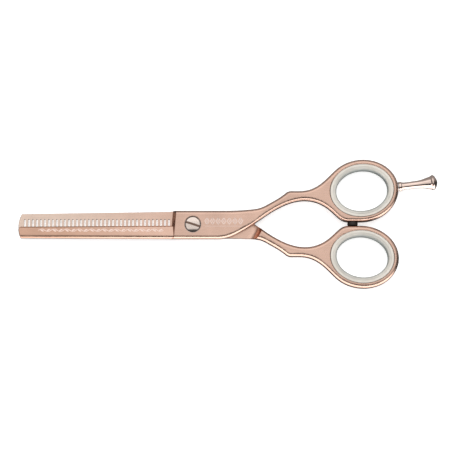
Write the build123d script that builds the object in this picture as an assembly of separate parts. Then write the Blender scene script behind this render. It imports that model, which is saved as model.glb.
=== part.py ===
from build123d import *
from math import cos, radians, sin
import os

# Hair thinning shears, 5.5 inch class: a toothed blade half, a straight blade half, a slotted tension
# screw at the pivot, two oval finger rings with plastic inserts, a rubber bumper between the rings
# and a screw-in finger rest. Closed and lying flat, with the toothed half underneath.
# Frame, in millimetres: origin on the pivot axis, in the plane of the toothed half's flat back;
# +Z up along the pivot axis, -X towards the blade tips, +Y towards the ring with the finger rest.
# Both halves are laid out in one half frame and then placed: z = 0 there is the ride plane, +z the
# half's outer side, y = 0 the line that the two handles share, and +y the half's own handle side.

# ---- driving dimensions ----
thickness = 5.6             # both halves together, and the full thickness of shanks and rings
ride_gap = 0.06             # running gap between the two ride faces
ride_z = thickness / 2
handle_line_y = 0.3         # the handles mirror each other across this line
clear = 1.0                 # how far a cutter reaches past what it cuts
beyond = 20.0               # and how far the large ones do
hair = 0.01                 # tolerance for picking out edges by their height

tip_x = -64.1
tip_radius = 10.2           # plan radius of the blade ends
tip_centre_y = -0.8
tip_corner = 1.1
tip_round = 0.3             # rounding of the blunt blade ends, on their outer side
edge_break = 0.2            # rounding of the ride face along a blade's back and end
tip_zone = 3                # length of the blade that counts as its end
edge_round = 1.3            # rounding along joint, shanks and rings
blade_round = 1.2           # rounding along the backs of the blades
blade_end_x = -67.0         # blades are laid out past their tips, then cut round
blade_root_x = -3.0         # and run this far into the joint
heel_x = -10.0              # left end of the joint blank, before the shoulder is cut
shoulder_x = -7.75          # foot of the shoulder wall
shoulder_lean = 1.35        # how far the wall leans back over the plate's thickness
shoulder_turn = -5.0        # degrees that the wall is turned in plan

straight_edge = (-0.6, -0.96)       # cutting edge at the pivot and at the tip
straight_spine = (-5.59, -5.3)
straight_side = 4.75                # joint's edge on its handle side
toothed_edge = (2.5, 2.15)          # tooth tips at the pivot and at the tip
toothed_spine = (-4.68, -3.75)
toothed_side = 5.2
blade_back = (2.15, 1.6)            # blade thickness at the spine, at the pivot and at the tip
straight_edge_back = 1.0            # thickness behind the cutting edge's bevel
toothed_edge_back = 0.75
bevel_width = 0.4
bevel_land = 0.3
edge_thinning = 0.85        # share of a bevel's thickness that is left at the tip
back_flat = 1.3             # width of the flat along the back of a blade, with its rounding

tooth_gaps = 37
tooth_pitch = 1.47
tooth_gap = 0.62
first_gap_x = -61.7
tooth_root_y = -1.87
notch_width = 0.4
notch_depth = 0.28

ring_x = 62.1               # ring centre in the half frame
ring_y = 12.25
ring_tilt = 7.0             # degrees that a ring's long axis leans outwards
ring_long = 13.42           # outer half-axes
ring_short = 11.42
hole_long = 11.72           # half-axes of the hole for the insert
hole_short = 9.75
hole_round = 0.3            # rounding of the hole's rims
ridge_height = 0.7          # ridge inside the hole, which the insert snaps over
ridge_width = 1.6
ring_leave = 122.0          # where the shank's flare meets the ring's ellipse, in its own degrees
ring_land = -98.2           # where the flat land for the bumper leaves it
joint_side_x = 12.0         # where the joint's two straight sides end
joint_spine_x = 9.5

ramp_foot_x = 22.3          # where the ride face ends on the handle line
ramp_angle = 120.0          # direction of the ramp's foot, degrees from +x
ramp_radius = 4.2

insert_play = 0.03
finger_long = 9.45          # half-axes of the finger hole
finger_short = 7.5
insert_half_height = 2.7
insert_corner = 0.3
bead_width = 1.1
bead_round = 0.95
seam_width = 0.16
seam_depth = 0.14

head_well_radius = 3.1
head_well_floor = ride_z + 1.35
slide_washer_height = 0.35
spring_washer_height = 0.3
spring_washer_gauge = 0.2
head_radius = 2.84
head_rim_z = thickness - 0.24
head_top = thickness + 0.18
head_crown_radius = 8.5     # of the slightly domed top
break_edge = 0.15           # small corner breaks on turned parts
slot_width = 0.8
slot_depth = 0.42
slot_turn = -18.0
journal_radius = 1.8
bush_radius = 2.35
thread_radius = 1.5
nut_across_flats = 5.0
nut_well_radius = 3.05
nut_well_depth = 1.05
nut_floor = 0.1
nut_cone = (0.35, 0.25)     # how far in and how high the nut's corners are turned off
thread_lead_in = 0.2
play = 0.03                 # radial and axial clearance around the pivot's small parts
ride_recess = 0.15
ride_washer_radius = 3.6

bumper_x = 58.65
bumper_radius = 1.9
bumper_rise = 1.45
bumper_lip = 0.4
bumper_stem_radius = 0.9
bumper_stem_length = 1.5

rest_seat = 13.3            # distance from the ring's centre to the finger rest's spot face
rest_washer = 0.35
rest_stub_radius = 1.0
rest_stub_length = 1.4
rest_foot_radius = 1.72
rest_rim_radius = 2.78
rest_foot_height = 0.85
rest_foot_break = 0.12
rest_rim_z = 12.35          # where the flare ends, and the height of the straight rim above it
rest_rim_height = 0.4
rest_length = 14.3          # from the foot to the top of the domed end
rest_spot_radius = 2.1


def straight_place(shape):
    """The straight half lies on top, with its outer side up."""
    return Pos(0, handle_line_y, ride_z) * shape


def toothed_place(shape):
    """The toothed half is turned over, underneath."""
    return Pos(0, handle_line_y, ride_z) * Rot(180, 0, 0) * shape


def ring_point(angle):
    """A point of the ring's outer ellipse, and its heading as the angle falls."""
    tilt = radians(ring_tilt)
    along, across = ring_long * cos(radians(angle)), ring_short * sin(radians(angle))
    run, rise = ring_long * sin(radians(angle)), -ring_short * cos(radians(angle))
    x = ring_x + along * cos(tilt) - across * sin(tilt)
    y = ring_y + along * sin(tilt) + across * cos(tilt)
    return (x, y), (run * cos(tilt) - rise * sin(tilt), run * sin(tilt) + rise * cos(tilt))


def ring_prism(long, short, half_height):
    face = Pos(ring_x, ring_y, -half_height) * Rot(0, 0, ring_tilt) * Ellipse(long, short)
    return extrude(face, amount=2 * half_height)


def curve(points, start, end):
    """A smooth curve through points, with its heading at each end."""
    return Spline(*points, tangents=(start, end), tangent_scalars=(1, 1))


def half_outline(side_y, spine_y):
    """Plan of a half's joint, shank and ring."""
    leave, leave_heading = ring_point(ring_leave)
    land, _ = ring_point(ring_land)
    joint_end = (joint_side_x, side_y)
    knuckle_in, knuckle_out, knuckle_heading = (34.2, 11.38), (36.0, 12.06), (0.78, 0.62)
    spine_end, land_end = (joint_spine_x, spine_y), (57.0, land[1])
    crotch, crotch_heading = (23.0, 0.25), (-0.79, -0.61)
    outer = curve([joint_end, (21.0, 3.3 + 0.4 * side_y), (24.8, 5.85), (28.4, 7.62), (32.0, 9.75),
                   knuckle_in], (1, 0), knuckle_heading)
    knuckle = curve([knuckle_in, knuckle_out], knuckle_heading, (1, 0))
    flare = curve([knuckle_out, (40.2, 12.1), (43.1, 12.66), (46.8, 14.62), (50.5, 17.95), leave],
                  (1, 0), leave_heading)
    ring_arc = EllipticalCenterArc((ring_x, ring_y), ring_long, ring_short,
                                   start_angle=ring_leave, arc_size=ring_land - ring_leave,
                                   rotation=ring_tilt)
    under = curve([land_end, (54.5, 1.5), (52.2, 3.42), (48.6, 6.42), (45.0, 8.1), (41.3, 8.66),
                   (37.6, 8.26), (33.9, 7.05), (28.4, 4.1), crotch], (-1, 0), crotch_heading)
    throat = curve([crotch, (18.4, -2.5), (14.6, -4.42), spine_end], crotch_heading, (-1, 0))
    edges = [Line((heel_x, spine_y), (heel_x, side_y)), Line((heel_x, side_y), joint_end),
             outer, knuckle, flare, ring_arc, Line(land, land_end), under, throat,
             Line(spine_end, (heel_x, spine_y))]
    return make_face(Wire(edges))


def ride_cutter():
    """What is cut away below the ride face, up to the concave ramp where the shank thickens."""
    reach, depth = 110.0, ride_z + clear
    foot = radians(ramp_angle)
    plane = Plane(origin=(ramp_foot_x, 0, 0), x_dir=(sin(foot), -cos(foot), 0),
                  z_dir=(-cos(foot), -sin(foot), 0))
    top = ride_gap / 2
    low = top - ramp_radius
    profile = [Line((-reach, top), (0, top)),
               CenterArc((0, low), ramp_radius, 0, 90),
               Line((ramp_radius, low), (ramp_radius, -depth)),
               Line((ramp_radius, -depth), (-reach, -depth)),
               Line((-reach, -depth), (-reach, top))]
    return extrude(plane * make_face(Wire(profile)), amount=reach, both=True)


def shoulder_cutter():
    """Everything past the leaning wall where the joint steps down to the blade."""
    profile = Polyline((0, 0), (shoulder_lean, ride_z + hair), (shoulder_lean, thickness),
                       (-beyond, thickness), (-beyond, -thickness), (0, -thickness), close=True)
    face = Plane.XZ * make_face(profile)
    return Pos(shoulder_x, 0, 0) * Rot(0, 0, shoulder_turn) * extrude(face, amount=beyond, both=True)


def outer_rims(solid):
    """Edges that lie in a half's outer face or, at shank and ring, in its back."""
    return solid.edges().filter_by(lambda edge: abs(abs(edge.center().Z) - ride_z) < hair)


def ring_distance(edge):
    """How far an edge's centre is from the ring's centre in plan; a full ellipse's is nought."""
    middle = edge.center(CenterOf.BOUNDING_BOX)
    return ((middle.X - ring_x) ** 2 + (middle.Y - ring_y) ** 2) ** 0.5


def half_blank(side_y, spine_y):
    """Joint, shank and ring of one half, with its ring's socket cut."""
    blank = Pos(0, 0, -ride_z) * extrude(half_outline(side_y, spine_y), amount=thickness)
    blank = fillet(outer_rims(blank), edge_round)
    blank -= ride_cutter()
    blank -= shoulder_cutter()
    blank -= ring_prism(hole_long - ridge_height, hole_short - ridge_height, ride_z + clear)
    depth = ride_z + clear - ridge_width / 2
    mouth = Pos(ring_x, ring_y, 0) * Rot(0, 0, ring_tilt) * Ellipse(hole_long, hole_short)
    for side in (-1, 1):
        blank -= Pos(0, 0, side * ridge_width / 2) * extrude(mouth, amount=side * depth)
    hole_rims = outer_rims(blank).filter_by(lambda edge: ring_distance(edge) < hair)
    return fillet(hole_rims, hole_round)


def blade_section(x, edge_y, spine_y, edge_back, back, bevel):
    """Closed section of a blade across its length."""
    low = ride_gap / 2
    points = [(edge_y, low), (edge_y, low + bevel_land), (edge_y - bevel, low + edge_back),
              (spine_y + back_flat, low + back), (spine_y, low + back), (spine_y, low)]
    outline = Polyline(*[(x, y, z) for y, z in points], close=True)
    return make_face(outline)


def at_tip(edges):
    """Those edges that are at a blade's end."""
    return edges.filter_by(lambda edge: edge.center().X < tip_x + tip_zone)


def blade_blank(edge, spine, edge_back, bevel, centre_y):
    """A tapering blade with a rounded back and a round end, laid out past its tip and then cut."""
    slope = 1 / (blade_root_x - tip_x)
    past = (blade_root_x - blade_end_x) * slope

    def at_end(pair):
        return pair[0] + (pair[1] - pair[0]) * past

    root = blade_section(blade_root_x, edge[0], spine[0], edge_back, blade_back[0], bevel)
    end = blade_section(blade_end_x, at_end(edge), at_end(spine), edge_back * edge_thinning,
                        at_end(blade_back), bevel)
    blade = loft([root, end], ruled=True)
    long_edges = blade.edges().filter_by(lambda line: line.length > tip_radius * 2)
    spine_edges = long_edges.sort_by(Axis.Y)[:2]
    blade = fillet(spine_edges.sort_by(Axis.Z)[-1], blade_round)
    disc = Pos(tip_x + tip_radius, centre_y, 0) * Cylinder(tip_radius, beyond)
    kept = Pos(tip_x + tip_radius, 0, 0) * Box(100, 2 * beyond, beyond,
                                               align=(Align.MIN, Align.CENTER, Align.CENTER))
    blade &= disc + kept
    corners = at_tip(blade.edges()).filter_by(Axis.Z)
    blade = fillet(corners.sort_by(Axis.Y)[0], tip_corner)
    face_z = ride_gap / 2
    outer = at_tip(blade.edges()).filter_by(lambda edge: edge.center().Z > face_z + 1.5 * bevel_land)
    blade = fillet(outer.filter_by(lambda edge: edge.length > 2 * tip_round), tip_round)
    on_face = blade.edges().filter_by(lambda edge: abs(edge.center().Z - face_z) < hair)
    spine_edge = on_face.sort_by(lambda edge: edge.length)[-1]
    return fillet([spine_edge, *at_tip(on_face)], edge_break)


def tooth_cutter():
    """Round-bottomed gaps between the teeth, and a small notch in the tip of each tooth."""
    reach = toothed_edge[0] + clear - tooth_root_y
    slot = Circle(tooth_gap / 2) + Pos(0, reach / 2) * Rectangle(tooth_gap, reach)
    gap = extrude(slot, amount=ride_z, both=True)
    cutters = []
    for index in range(tooth_gaps):
        x = first_gap_x + index * tooth_pitch
        cutters.append(Pos(x, tooth_root_y + tooth_gap / 2, 0) * gap)
    for index in range(tooth_gaps + 1):
        x = first_gap_x + (index - 0.5) * tooth_pitch
        along = (x - blade_root_x) / (tip_x - blade_root_x)
        tip_y = toothed_edge[0] + (toothed_edge[1] - toothed_edge[0]) * along
        mouth_y = tip_y + notch_depth / 2
        notch = make_face(Polyline((x - notch_width / 2, mouth_y), (x, tip_y - notch_depth),
                                   (x + notch_width / 2, mouth_y), close=True))
        cutters.append(extrude(notch, amount=ride_z, both=True))
    return cutters


def upright(radius, low, high):
    """A cylinder on the pivot axis between two heights."""
    return Pos(0, 0, low) * Cylinder(radius, high - low, align=(Align.CENTER, Align.CENTER, Align.MIN))


def ride_recess_cutter():
    """The shallow pocket that both halves share for the ride washer."""
    depth = ride_gap / 2 + ride_recess
    return upright(ride_washer_radius + 2 * play, ride_z - depth, ride_z + depth)


def on_land(shape):
    """Turn a shape made along +z so that it points out of the ring's flat land."""
    return Pos(bumper_x, ring_point(ring_land)[0][1], 0) * Rot(90, 0, 0) * shape


def on_ring_end(shape):
    """Put a shape made along +z on the ring's long axis, pointing away from its centre."""
    return Pos(ring_x, ring_y, 0) * Rot(0, 0, ring_tilt) * Rot(0, 90, 0) * shape


def straight_blade_half():
    half = half_blank(straight_side, straight_spine[0])
    half += blade_blank(straight_edge, straight_spine, straight_edge_back, bevel_width,
                        tip_centre_y - handle_line_y)
    half -= on_land(Pos(0, 0, -bumper_stem_length / 2) * Cylinder(bumper_stem_radius + play,
                                                                  bumper_stem_length + 2 * play))
    stub_bore = Cylinder(rest_stub_radius + play, rest_stub_length + 2 * play,
                         align=(Align.CENTER, Align.CENTER, Align.MAX))
    spot_face = Cylinder(rest_spot_radius, 2 * clear, align=(Align.CENTER, Align.CENTER, Align.MIN))
    half -= on_ring_end(Pos(0, 0, rest_seat) * (stub_bore + spot_face))
    half = straight_place(half)
    half -= upright(head_well_radius, head_well_floor, thickness + clear)
    half -= upright(bush_radius, ride_z, thickness)
    half -= ride_recess_cutter()
    return half


def toothed_blade_half():
    half = half_blank(toothed_side, toothed_spine[0])
    blade = blade_blank(toothed_edge, toothed_spine, toothed_edge_back, bevel_width,
                        handle_line_y - tip_centre_y)
    half += blade.cut(*tooth_cutter())
    half = toothed_place(half)
    half -= upright(thread_radius + play, -clear, ride_z)
    half -= upright(nut_well_radius, -clear, nut_well_depth)
    half -= ride_recess_cutter()
    return half


def ring_insert():
    """Plastic liner of a finger ring: flange, thin seam, round bead and a groove for the ridge."""
    tall = insert_half_height
    insert = ring_prism(hole_long - insert_play, hole_short - insert_play, tall)
    groove = ring_prism(hole_long + clear, hole_short + clear, ridge_width / 2 + insert_play)
    groove -= ring_prism(hole_long - ridge_height - insert_play,
                         hole_short - ridge_height - insert_play, tall)
    insert -= groove
    insert -= ring_prism(finger_long, finger_short, tall + clear)

    def rims(solid):
        """Edges of the two flat sides, the shortest first."""
        edges = solid.edges().filter_by(lambda edge: abs(abs(edge.center().Z) - tall) < hair)
        return edges.sort_by(lambda edge: edge.length)

    insert = fillet(rims(insert)[:2], bead_round)
    insert = fillet(rims(insert)[-2:], insert_corner)
    bead_long, bead_short = finger_long + bead_width, finger_short + bead_width
    seam = ring_prism(bead_long + seam_width, bead_short + seam_width, tall + clear)
    seam -= ring_prism(bead_long, bead_short, tall + clear)
    seam -= ring_prism(hole_long, hole_short, tall - seam_depth)
    return insert - seam


def washer(outer, inner, low, high):
    return upright(outer, low, high) - upright(inner, low - clear, high + clear)


def turned(points):
    """A solid turned about the pivot axis from (radius, z) points."""
    return revolve(Plane.XZ * make_face(Polyline(*points, close=True)), Axis.Z)


def pivot_screw():
    """Slotted, slightly domed head, plain journal in the bush and a threaded end."""
    seat = head_well_floor + slide_washer_height + spring_washer_height + 3 * play
    shoulder = ride_z - ride_gap / 2 - ride_recess + play
    rim = (head_radius - break_edge, head_rim_z)
    side = Polyline((0, head_top), (0, nut_floor), (thread_radius - thread_lead_in, nut_floor),
                    (thread_radius, nut_floor + thread_lead_in), (thread_radius, shoulder),
                    (journal_radius, shoulder), (journal_radius, seat), (head_radius, seat),
                    (head_radius, head_rim_z - break_edge), rim)
    crown = RadiusArc(rim, (0, head_top), -head_crown_radius)
    screw = revolve(Plane.XZ * make_face(Wire([*side.edges(), crown])), Axis.Z)
    slot = Box(beyond, slot_width, clear, align=(Align.CENTER, Align.CENTER, Align.MIN))
    return screw - Pos(0, 0, head_top - slot_depth) * Rot(0, 0, slot_turn) * slot


def spring_washer():
    """A shallow cone, highest at its hole."""
    low = head_well_floor + slide_washer_height + 2 * play
    inner, outer = journal_radius + 2 * play, head_radius + 2 * play
    rise = spring_washer_height - spring_washer_gauge
    return turned([(inner, low + rise), (outer, low), (outer, low + spring_washer_gauge),
                   (inner, low + spring_washer_height)])


def lock_nut():
    """A thin hexagon nut with its outer corners turned off."""
    height = nut_well_depth - nut_floor - play
    flats = extrude(RegularPolygon(nut_across_flats / 2, 6, major_radius=False), amount=height)
    corner = nut_across_flats / 2 / cos(radians(30))
    cone_in, cone_height = nut_cone
    cone = turned([(0, 0), (corner - cone_in, 0), (corner, cone_height), (corner, height), (0, height)])
    bore = upright(thread_radius + play, -clear, height + clear)
    return Pos(0, 0, nut_floor) * ((flats & cone) - bore)


def ring_bumper():
    """A rounded button between the rings, on a stem pressed into the upper one."""
    head = extrude(Circle(bumper_radius), amount=bumper_rise)
    head = fillet(head.edges().sort_by(Axis.Z)[-1], bumper_lip)
    stem = Pos(0, 0, -bumper_stem_length / 2) * Cylinder(bumper_stem_radius, bumper_stem_length)
    return straight_place(on_land(head + stem))


def finger_rest():
    """Turned rest: foot, slim neck and flared, domed end, with its threaded stub."""
    stub_end = -rest_washer - play - rest_stub_length
    neck_in = (1.5, 1.15)
    flare_end = (rest_rim_radius, rest_rim_z)
    rim_top = (rest_rim_radius, rest_rim_z + rest_rim_height)
    side = Polyline((0, rest_length), (0, stub_end), (rest_stub_radius - break_edge, stub_end),
                    (rest_stub_radius, stub_end + break_edge), (rest_stub_radius, 0),
                    (rest_foot_radius - rest_foot_break, 0), (rest_foot_radius, rest_foot_break),
                    (rest_foot_radius, rest_foot_height), neck_in)
    neck = curve([neck_in, (1.31, 3.6), (1.36, 6.4), (1.62, 8.9), (2.15, 10.9), flare_end],
                 (-0.3, 1), (1.4, 1))
    dome = curve([rim_top, (1.6, 13.85), (0, rest_length)], (-0.25, 1), (-1, 0))
    profile = Wire([*side.edges(), neck, Line(flare_end, rim_top), dome])
    body = revolve(Plane.XZ * make_face(profile), Axis.Z)
    base = rest_seat + rest_washer + 2 * play
    return straight_place(on_ring_end(Pos(0, 0, base) * body))


def finger_rest_washer():
    ring = washer(rest_foot_radius - rest_foot_break, rest_stub_radius + play, 0, rest_washer)
    return straight_place(on_ring_end(Pos(0, 0, rest_seat + play) * ring))


ride_half = ride_recess + ride_gap / 2 - play
slide_low = head_well_floor + play / 2
nodes = {
    "toothed_blade_half": toothed_blade_half(),
    "lock_nut": lock_nut(),
    "lower_ring_insert": toothed_place(ring_insert()),
    "straight_blade_half": straight_blade_half(),
    "pivot_bush": washer(bush_radius - play / 3, journal_radius + play,
                         ride_z + ride_half + play, head_well_floor),
    "ride_washer": washer(ride_washer_radius, journal_radius + play,
                          ride_z - ride_half, ride_z + ride_half),
    "slide_washer": washer(head_well_radius - 3 * play, journal_radius + play,
                           slide_low, slide_low + slide_washer_height),
    "spring_washer": spring_washer(),
    "pivot_screw": pivot_screw(),
    "upper_ring_insert": straight_place(ring_insert()),
    "ring_bumper": ring_bumper(),
    "finger_rest_washer": finger_rest_washer(),
    "finger_rest": finger_rest(),
}
os.makedirs("parts", exist_ok=True)
for name, shape in nodes.items():
    export_step(shape, f"parts/{name}.step")
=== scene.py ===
import math

import bmesh
import bpy
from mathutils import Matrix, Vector
from mathutils.bvhtree import BVHTree


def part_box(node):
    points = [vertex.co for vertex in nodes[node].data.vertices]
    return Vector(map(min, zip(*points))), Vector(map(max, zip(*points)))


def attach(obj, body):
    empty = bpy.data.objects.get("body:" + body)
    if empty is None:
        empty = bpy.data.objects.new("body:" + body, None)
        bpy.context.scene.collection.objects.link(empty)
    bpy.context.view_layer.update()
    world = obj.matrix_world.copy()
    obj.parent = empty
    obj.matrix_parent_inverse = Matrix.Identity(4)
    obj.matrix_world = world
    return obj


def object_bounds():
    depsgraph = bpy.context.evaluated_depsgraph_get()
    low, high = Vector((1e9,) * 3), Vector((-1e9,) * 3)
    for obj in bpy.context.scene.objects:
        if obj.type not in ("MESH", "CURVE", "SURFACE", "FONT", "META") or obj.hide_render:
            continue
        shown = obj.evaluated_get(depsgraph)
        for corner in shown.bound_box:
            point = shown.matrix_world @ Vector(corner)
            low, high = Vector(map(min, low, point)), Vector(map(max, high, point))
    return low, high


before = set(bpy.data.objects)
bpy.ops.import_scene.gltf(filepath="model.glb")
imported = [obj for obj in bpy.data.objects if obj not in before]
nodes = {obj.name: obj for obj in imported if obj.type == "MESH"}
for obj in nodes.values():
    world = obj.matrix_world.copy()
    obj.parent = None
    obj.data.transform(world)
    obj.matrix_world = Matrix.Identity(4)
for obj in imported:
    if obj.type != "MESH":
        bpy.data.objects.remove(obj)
cad_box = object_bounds()

MM = 0.001

# The picture.
VIEW_WIDTH = 165.3 * MM        # what the picture is wide, at the object
VIEW_CENTRE = Vector((11.8 * MM, 0.0, 2.8 * MM))
VIEW_TILT = math.radians(7)    # the camera leans this far towards -Y from straight down
CAMERA_DISTANCE = 1.0
SENSOR = 36.0
CLIP_END = 20.0

# The lamp and the floor.
KEY_PLACE = (0.1, 0.35, 1.2)
KEY_AIM = (0.01, 0.0, 0.0)
KEY_SIZE = 1.2
KEY_POWER = 8.0
FLOOR_HALF = 3.0
FLOOR_GLOW = 0.6

# The sky. Each pair is where one edge of a softbox starts and where it ends, on an axis of the
# direction looked in: x is 1 towards the finger rest, y is -1 towards the front, z is 1 straight up.
OVERHEAD = 0.78                # brightness of the broad softbox overhead
OVERHEAD_RIM = (0.3, 0.72)
OVERHEAD_RIGHT = (0.8, 0.45)
OVERHEAD_LEFT = (-0.9, -0.5)
OVERHEAD_FRONT = (-0.38, -0.24)
FRONT = 2.1                    # brightness of the long low one at the front
FRONT_NEAR = (-0.3, -0.6)
FRONT_TOP = (0.56, 0.44)
FRONT_FOOT = (-0.95, -0.6)
ROOM_RISE = (-0.2, 0.2)        # the dim room, a little brighter above the floor
ROOM_DIM = (0.05, 0.08)
BACK_RISE = (0.1, 0.5)         # and brighter towards the back
BACK_GLOW = 0.26

# The finishes.
LINE_STRETCH = (60, 2600, 2600)    # polishing lines run along the shears
SCUFF_STRETCH = (500, 2300, 900)
PAINTED_WALL_SHADE = (0.48, 0.42, 0.40)     # painted shade on upright sides, darkening the coating's colour there
SLOT_SHADE_DEPTHS = (0.40 * MM, 0.36 * MM)    # depths where the slot's painted shade is full and where it starts
LINER_SHADE_FADE = (0.79, 0.93)           # where, going out from the hole, the painted shade starts to fade and where it is gone
# how strongly the painted shade darkens the liner inside the lip
LINER_SHADE_AMOUNT = 0.55
LINER_WALL_SHADE = (0.30, 0.93)          # normal's Z where the painted shade on the hole's wall is full and where it starts


# ---- node helpers ----

def material(name):
    """A new node material and its Principled shader."""
    made = bpy.data.materials.new(name)
    made.use_nodes = True
    return made, made.node_tree.nodes["Principled BSDF"]


def add(made, kind, **values):
    """Add a shader node; values set its properties, or its input sockets when they are named so."""
    node = made.node_tree.nodes.new(kind)
    for key, value in values.items():
        if hasattr(node, key):
            setattr(node, key, value)
        else:
            node.inputs[key.replace("_", " ")].default_value = value
    return node


def link(made, source, target):
    """Join an output socket to an input socket."""
    made.node_tree.links.new(source, target)


def coordinates(made, scale=(1, 1, 1), offset=(0, 0, 0), output="Object"):
    """One of the texture coordinates, multiplied by scale and then moved by offset."""
    place = add(made, "ShaderNodeTexCoord")
    mapping = add(made, "ShaderNodeMapping")
    mapping.inputs["Scale"].default_value = scale
    mapping.inputs["Location"].default_value = offset
    link(made, place.outputs[output], mapping.inputs["Vector"])
    return mapping.outputs["Vector"]


def noise(made, vector, scale, detail=4.0, roughness=0.55):
    """Noise between 0 and 1 at a vector."""
    node = add(made, "ShaderNodeTexNoise", Scale=scale, Detail=detail, Roughness=roughness)
    link(made, vector, node.inputs["Vector"])
    return node.outputs["Fac"]


def ramp(made, value, stops):
    """Map a value through colour stops [(position, colour)]."""
    node = add(made, "ShaderNodeValToRGB")
    link(made, value, node.inputs["Fac"])
    bands = node.color_ramp.elements
    while len(bands) < len(stops):
        bands.new(0.5)
    for band, (position, colour) in zip(bands, stops):
        band.position = position
        band.color = (*colour, 1.0)
    return node.outputs["Color"]


def remap(made, value, low, high, to_low, to_high, **kind):
    """Turn a value from low to high into one from to_low to to_high, clamped outside."""
    node = add(made, "ShaderNodeMapRange", **kind)
    link(made, value, node.inputs["Value"])
    for key, number in zip(("From Min", "From Max", "To Min", "To Max"), (low, high, to_low, to_high)):
        node.inputs[key].default_value = number
    return node.outputs["Result"]


def bump(made, height, shader, distance, strength):
    """Small relief on a shader, distance metres deep."""
    node = add(made, "ShaderNodeBump", Strength=strength, Distance=distance)
    link(made, height, node.inputs["Height"])
    link(made, node.outputs["Normal"], shader.inputs["Normal"])


def split(made, output):
    """The X, Y and Z outputs of one of the texture coordinates."""
    place = add(made, "ShaderNodeTexCoord")
    parts = add(made, "ShaderNodeSeparateXYZ")
    link(made, place.outputs[output], parts.inputs["Vector"])
    return [parts.outputs[axis] for axis in "XYZ"]


def steepness(made, low, high):
    """0 on level faces and 1 on upright ones: the surface normal's Z goes from high down to low."""
    level = add(made, "ShaderNodeMath", operation="ABSOLUTE")
    link(made, split(made, "Normal")[2], level.inputs[0])
    return remap(made, level.outputs["Value"], high, low, 0.0, 1.0)


def mix(made, factor, first, second, blend="MIX"):
    """Mix two colours; each of factor, first and second is a socket or a value."""
    node = add(made, "ShaderNodeMix", data_type="RGBA", blend_type=blend)
    sockets = (node.inputs["Factor"], node.inputs[6], node.inputs[7])
    for socket, value in zip(sockets, (factor, first, second)):
        if isinstance(value, bpy.types.NodeSocket):
            link(made, value, socket)
        else:
            socket.default_value = value if isinstance(value, float) else (*value, 1.0)
    return node.outputs[2]


def along(made, start, end):
    """0 at x = start and 1 at x = end, in metres along the shears, clamped outside."""
    return remap(made, split(made, "Object")[0], start, end, 0.0, 1.0)


def from_middle(made):
    """0 in the middle of an object's box and 1 where an ellipse in that box reaches its sides."""
    across = coordinates(made, (2, 2, 0), (-1, -1, 0), "Generated")
    length = add(made, "ShaderNodeVectorMath", operation="LENGTH")
    link(made, across, length.inputs[0])
    return length.outputs["Value"]


# ---- materials ----

def rose_metal(name, colour, blade_colour, rough, grain=1.0, shade_steepness=(0.14, 0.72)):
    """Satin coated steel: fine lengthwise polishing lines, cloudy colour, small scuffs, a colour that
    shifts towards blade_colour along the blade, and painted shade that darkens the steep sides."""
    made, shader = material(name)
    shader.inputs["Metallic"].default_value = 1.0
    clouds = noise(made, coordinates(made), 140.0, 3.0)
    lines = noise(made, coordinates(made, LINE_STRETCH), 1.0, 5.0, 0.7)
    scuffs = noise(made, coordinates(made, SCUFF_STRETCH), 1.0, 2.0)
    base = mix(made, along(made, BLADE_ROOT, BLADE_MIDDLE), colour, blade_colour)
    cloudy = ramp(made, clouds, [(0.3, (0.92,) * 3), (0.72, (1.05,) * 3)])
    streaky = ramp(made, lines, [(0.3, (0.94,) * 3), (0.7, (1.04,) * 3)])
    tint = mix(made, 1.0, mix(made, 1.0, base, cloudy, "MULTIPLY"), streaky, "MULTIPLY")
    # painted shade: steep faces get a darker colour, standing in for the dark studio they would reflect
    painted_wall_shade = mix(made, steepness(made, *shade_steepness), (1.0, 1.0, 1.0), PAINTED_WALL_SHADE)
    link(made, mix(made, 1.0, tint, painted_wall_shade, "MULTIPLY"), shader.inputs["Base Color"])
    worn = add(made, "ShaderNodeMath", operation="ADD")
    link(made, remap(made, lines, 0.3, 0.7, rough - 0.05, rough + 0.06), worn.inputs[0])
    link(made, remap(made, scuffs, 0.62, 0.8, 0.0, 0.08), worn.inputs[1])
    link(made, worn.outputs["Value"], shader.inputs["Roughness"])
    bump(made, lines, shader, 0.000004 * grain, 0.5)
    return made


def screw_metal(name):
    """Polished head with fine turning rings, and painted shade that darkens the floor of its slot."""
    made, shader = material(name)
    shader.inputs["Metallic"].default_value = 1.0
    shader.inputs["Roughness"].default_value = 0.09
    place = add(made, "ShaderNodeTexCoord")
    rings = add(made, "ShaderNodeTexWave", wave_type="RINGS", rings_direction="Z", Scale=1700.0,
                Distortion=1.2, Detail=2.0)
    link(made, place.outputs["Object"], rings.inputs["Vector"])
    height = split(made, "Object")[2]
    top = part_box("pivot_screw")[1].z
    # painted shade: the slot goes dark with depth below the head's top
    depth = remap(made, height, *(top - below for below in SLOT_SHADE_DEPTHS), 1.0, 0.0)
    face = ramp(made, rings.outputs["Fac"], [(0.0, (0.62, 0.49, 0.42)), (1.0, (0.98, 0.88, 0.81))])
    link(made, mix(made, depth, face, (0.20, 0.13, 0.10)), shader.inputs["Base Color"])
    bump(made, rings.outputs["Fac"], shader, 0.000003, 0.4)
    return made


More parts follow.
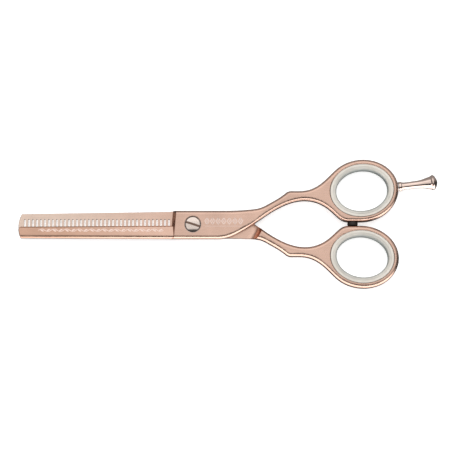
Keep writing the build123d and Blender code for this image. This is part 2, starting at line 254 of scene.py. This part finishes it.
def insert_plastic(name):
    """Pale soft plastic with painted shade in grey green, darkening it towards and down into the finger
    hole.
    """
    made, shader = material(name)
    clouds = noise(made, coordinates(made), 260.0, 4.0)
    specks = noise(made, coordinates(made), 2600.0, 3.0)
    pale = ramp(made, clouds, [(0.3, (0.70, 0.65, 0.58)), (0.7, (0.78, 0.74, 0.67))])
    # painted shade: grey green towards the hole and on its steep wall
    shaded = ramp(made, clouds, [(0.3, (0.25, 0.27, 0.26)), (0.7, (0.31, 0.33, 0.31))])
    lip_shade = mix(made, remap(made, from_middle(made), *LINER_SHADE_FADE, LINER_SHADE_AMOUNT, 0.0), pale, shaded)
    link(made, mix(made, steepness(made, *LINER_WALL_SHADE), lip_shade, shaded), shader.inputs["Base Color"])
    link(made, remap(made, clouds, 0.3, 0.7, 0.28, 0.38), shader.inputs["Roughness"])
    shader.inputs["Subsurface Weight"].default_value = 0.15
    shader.inputs["Subsurface Radius"].default_value = (0.0012, 0.0011, 0.001)
    bump(made, specks, shader, 0.000008, 0.5)
    return made


def simple(name, colour, rough, metallic=0.0, speckle=300.0, depth=0.00001):
    """A plain finish with a little cloudiness in its colour and roughness."""
    made, shader = material(name)
    shader.inputs["Metallic"].default_value = metallic
    clouds = noise(made, coordinates(made), speckle, 4.0)
    dark = tuple(part * 0.9 for part in colour)
    tint = ramp(made, clouds, [(0.3, dark), (0.7, colour)])
    link(made, tint, shader.inputs["Base Color"])
    link(made, remap(made, clouds, 0.3, 0.7, rough - 0.04, rough + 0.05), shader.inputs["Roughness"])
    bump(made, clouds, shader, depth, 0.4)
    return made


ROSE = (0.79, 0.53, 0.42)
REST_ROSE = (0.94, 0.74, 0.65)
BLADE_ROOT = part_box("pivot_screw")[0].x        # the colour starts shifting to the blade colour from here
BLADE_MIDDLE = 0.75 * cad_box[0].x             # to here
upper_steel = rose_metal("upper_rose_steel", ROSE, (0.60, 0.37, 0.27), 0.25)
lower_steel = rose_metal("lower_rose_steel", ROSE, (0.85, 0.66, 0.55), 0.25)
rest_steel = rose_metal("rest_steel", REST_ROSE, REST_ROSE, 0.09, 0.5, (0.0, 0.6))
screw_polish = screw_metal("screw_polish")
plain_steel = simple("plain_steel", (0.62, 0.61, 0.60), 0.3, 1.0)
bronze = simple("bush_bronze", (0.55, 0.37, 0.18), 0.4, 1.0)
white_plastic = simple("white_plastic", (0.8, 0.79, 0.75), 0.45)
liner = insert_plastic("ring_plastic")
rubber = simple("bumper_rubber", (0.022, 0.016, 0.014), 0.6)

FINISH = {
    "toothed_blade_half": lower_steel, "straight_blade_half": upper_steel, "pivot_screw": screw_polish,
    "finger_rest": rest_steel, "finger_rest_washer": plain_steel, "lock_nut": plain_steel,
    "spring_washer": plain_steel, "pivot_bush": bronze, "ride_washer": white_plastic,
    "slide_washer": white_plastic, "upper_ring_insert": liner,
    "lower_ring_insert": liner, "ring_bumper": rubber,
}
for node_name, finish in FINISH.items():
    slots = nodes[node_name].data.materials
    slots.clear()
    slots.append(finish)


# ---- etched ornament ----

class Etching:
    """Thin raised strokes laid on the top of a CAD node, gathered into one mesh."""

    def __init__(self, node_name):
        mesh = nodes[node_name].data
        corners = [vertex.co for vertex in mesh.vertices]
        self.tree = BVHTree.FromPolygons(corners, [tuple(face.vertices) for face in mesh.polygons])
        self.mesh = bmesh.new()

    def on_surface(self, x, y, rise):
        """The point on the node's top at x, y, in millimetres, raised by rise."""
        hit, _, _, _ = self.tree.ray_cast(Vector((x * MM, y * MM, 1.0)), Vector((0, 0, -1)))
        return hit + Vector((0, 0, rise * MM))

    def stroke(self, points, widths):
        """A closed ribbon along points, in millimetres in plan, with a width at each."""
        rings = []
        for index, (x, y) in enumerate(points):
            before, after = points[max(index - 1, 0)], points[min(index + 1, len(points) - 1)]
            run = Vector((after[0] - before[0], after[1] - before[1])).normalized()
            half = Vector((-run.y, run.x)) * widths[index] / 2
            corners = [self.on_surface(x + half.x, y + half.y, ETCH_RISE),
                       self.on_surface(x - half.x, y - half.y, ETCH_RISE),
                       self.on_surface(x - half.x, y - half.y, -ETCH_SINK),
                       self.on_surface(x + half.x, y + half.y, -ETCH_SINK)]
            rings.append([self.mesh.verts.new(corner) for corner in corners])
        for first, second in zip(rings, rings[1:]):
            for side in range(4):
                after = (side + 1) % 4
                self.mesh.faces.new((first[side], second[side], second[after], first[after]))
        self.mesh.faces.new(rings[0])
        self.mesh.faces.new(list(reversed(rings[-1])))

    def finish(self, name, finish, body, slot):
        """Make the strokes into one piece that rides on a body."""
        bmesh.ops.recalc_face_normals(self.mesh, faces=self.mesh.faces)
        data = bpy.data.meshes.new(name)
        self.mesh.to_mesh(data)
        self.mesh.free()
        data.materials.append(finish)
        made = bpy.data.objects.new(name, data)
        bpy.context.scene.collection.objects.link(made)
        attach(made, body)


# Millimetres, in plan unless said otherwise.
ETCH_RISE = 0.012              # above the metal's surface
ETCH_SINK = 0.03               # and below it
VINE_START = -56.6
VINE_PITCH = 4.58              # length of one wave of the stem
VINE_COUNT = 10
VINE_Y = -2.1
VINE_SWAY = 0.5
STEM_STEPS = 24                # points in one wave
STEM_WIDTH = 0.16
STEM_SWELL = 0.1               # extra width where the stem crosses its middle line
LEAF_LENGTH = 1.5
LEAF_WIDTH = 0.5
LEAF_TIP = 0.05                # width at both ends
LEAF_STEPS = 12
LEAF_RISE = 0.75
LEAF_BEND = 1.7
LEAF_DROP = 0.1                # how far each leaf starts back from the stem's middle
LEAF_LEAD = 0.12               # how far past each crossing a leaf starts, in waves
LEAF_FULLNESS = 0.8
MARK_START = 5.2
MARK_PITCH = 2.05
MARK_COUNT = 7
MARK_Y = 1.1
MARK_HALF = (0.8, 1.15)
MARK_LINE = 0.38
DOT_HALF = 0.2
DOT_WIDTH = 0.5
RULE_Y = -0.75
RULE_WIDTH = 0.14


def vine(etching):
    """A wavy stem with a leaf at each crossing of its middle line, along the upper blade."""
    steps = STEM_STEPS * VINE_COUNT
    waves = [index / STEM_STEPS for index in range(steps + 1)]

    def stem(turns):
        return VINE_START + turns * VINE_PITCH, VINE_Y + VINE_SWAY * math.sin(turns * math.tau)

    widths = [STEM_WIDTH + STEM_SWELL * abs(math.cos(wave * math.tau)) for wave in waves]
    etching.stroke([stem(wave) for wave in waves], widths)
    parts = [index / LEAF_STEPS for index in range(LEAF_STEPS + 1)]
    widths = [LEAF_TIP + LEAF_WIDTH * math.sin(math.pi * part) ** LEAF_FULLNESS for part in parts]
    for bend in range(2 * VINE_COUNT):
        x, y = stem(bend / 2 + LEAF_LEAD)
        side = 1 if bend % 2 else -1
        curl = [(x + LEAF_LENGTH * part, y + side * (LEAF_RISE * math.sin(LEAF_BEND * part) - LEAF_DROP))
                for part in parts]
        etching.stroke(curl, widths)


def lozenges(etching):
    """A row of outlined lozenges with a dot in each, over a thin rule, beside the screw."""
    wide, tall = MARK_HALF
    for index in range(MARK_COUNT):
        x = MARK_START + index * MARK_PITCH
        corners = [(x - wide, MARK_Y), (x, MARK_Y + tall), (x + wide, MARK_Y), (x, MARK_Y - tall)]
        for start, end in zip(corners, corners[1:] + corners[:1]):
            etching.stroke([start, end], [MARK_LINE] * 2)
        etching.stroke([(x - DOT_HALF, MARK_Y), (x + DOT_HALF, MARK_Y)], [DOT_WIDTH] * 2)
    last = MARK_START + (MARK_COUNT - 1) * MARK_PITCH
    etching.stroke([(MARK_START - wide, RULE_Y), (last + wide, RULE_Y)], [RULE_WIDTH] * 2)


etched = simple("etched_steel", (0.98, 0.76, 0.67), 0.3, 1.0, 900.0, 0.000004)
for piece_name, draw in (("blade_ornament", vine), ("joint_ornament", lozenges)):
    ornament = Etching("straight_blade_half")
    draw(ornament)
    ornament.finish(piece_name, etched, "straight_half", "rose_steel")


# ---- floor, light and camera ----

def floor():
    """A white light table: pale, evenly lit and faintly glowing, so that shadows stay light."""
    mesh = bpy.data.meshes.new("floor")
    half = FLOOR_HALF
    corners = [(-half, -half, 0), (half, -half, 0), (half, half, 0), (-half, half, 0)]
    mesh.from_pydata(corners, [], [(0, 1, 2, 3)])
    made = bpy.data.objects.new("floor", mesh)
    bpy.context.scene.collection.objects.link(made)
    paper = simple("floor_paper", (0.82, 0.82, 0.82), 0.9, speckle=3.0, depth=0.0)
    shader = paper.node_tree.nodes["Principled BSDF"]
    shader.inputs["Emission Color"].default_value = (1, 1, 1, 1)
    shader.inputs["Emission Strength"].default_value = FLOOR_GLOW
    mesh.materials.append(paper)
    made.visible_glossy = False


def key_light():
    """A square lamp high at the back, which the metal doesn't mirror."""
    data = bpy.data.lights.new("overhead", "AREA")
    data.shape = "RECTANGLE"
    data.size = KEY_SIZE
    data.size_y = KEY_SIZE
    data.energy = KEY_POWER
    lamp = bpy.data.objects.new("overhead", data)
    lamp.location = KEY_PLACE
    lamp.rotation_euler = (Vector(KEY_AIM) - Vector(KEY_PLACE)).to_track_quat("-Z", "Y").to_euler()
    lamp.visible_glossy = False
    bpy.context.scene.collection.objects.link(lamp)


def studio():
    """Softboxes as a sky: a broad one overhead that reaches towards +Y, and a long low one at -Y."""
    world = bpy.data.worlds.new("studio")
    bpy.context.scene.world = world
    world.use_nodes = True
    x, y, z = split(world, "Generated")

    def step(value, edge, low=0.0, high=1.0):
        """Go smoothly from low to high as value goes from the edge's start to its end."""
        return remap(world, value, *edge, low, high, interpolation_type="SMOOTHSTEP")

    def join(first, *others, operation="MULTIPLY"):
        for other in others:
            node = add(world, "ShaderNodeMath", operation=operation)
            link(world, first, node.inputs[0])
            link(world, other, node.inputs[1])
            first = node.outputs["Value"]
        return first

    sides = join(step(x, OVERHEAD_RIGHT), step(x, OVERHEAD_LEFT))
    overhead = join(step(z, OVERHEAD_RIM), sides, step(y, OVERHEAD_FRONT, 0.0, OVERHEAD))
    height = join(step(z, FRONT_TOP), step(z, FRONT_FOOT))
    front = join(step(y, FRONT_NEAR, 0.0, FRONT), height)
    room = join(step(z, ROOM_RISE, *ROOM_DIM), step(y, BACK_RISE, 0.0, BACK_GLOW), operation="ADD")
    background = world.node_tree.nodes["Background"]
    background.inputs["Color"].default_value = (1, 1, 1, 1)
    link(world, join(overhead, front, room, operation="ADD"), background.inputs["Strength"])


def camera():
    data = bpy.data.cameras.new("camera")
    data.sensor_width = SENSOR
    data.lens = SENSOR * CAMERA_DISTANCE / VIEW_WIDTH
    data.clip_end = CLIP_END
    made = bpy.data.objects.new("camera", data)
    away = Vector((0, -math.sin(VIEW_TILT), math.cos(VIEW_TILT)))
    made.location = VIEW_CENTRE + away * CAMERA_DISTANCE
    made.rotation_euler = (VIEW_TILT, 0, 0)
    bpy.context.scene.collection.objects.link(made)
    bpy.context.scene.camera = made


floor()
studio()
key_light()
camera()
bpy.context.scene.view_settings.view_transform = "Standard"
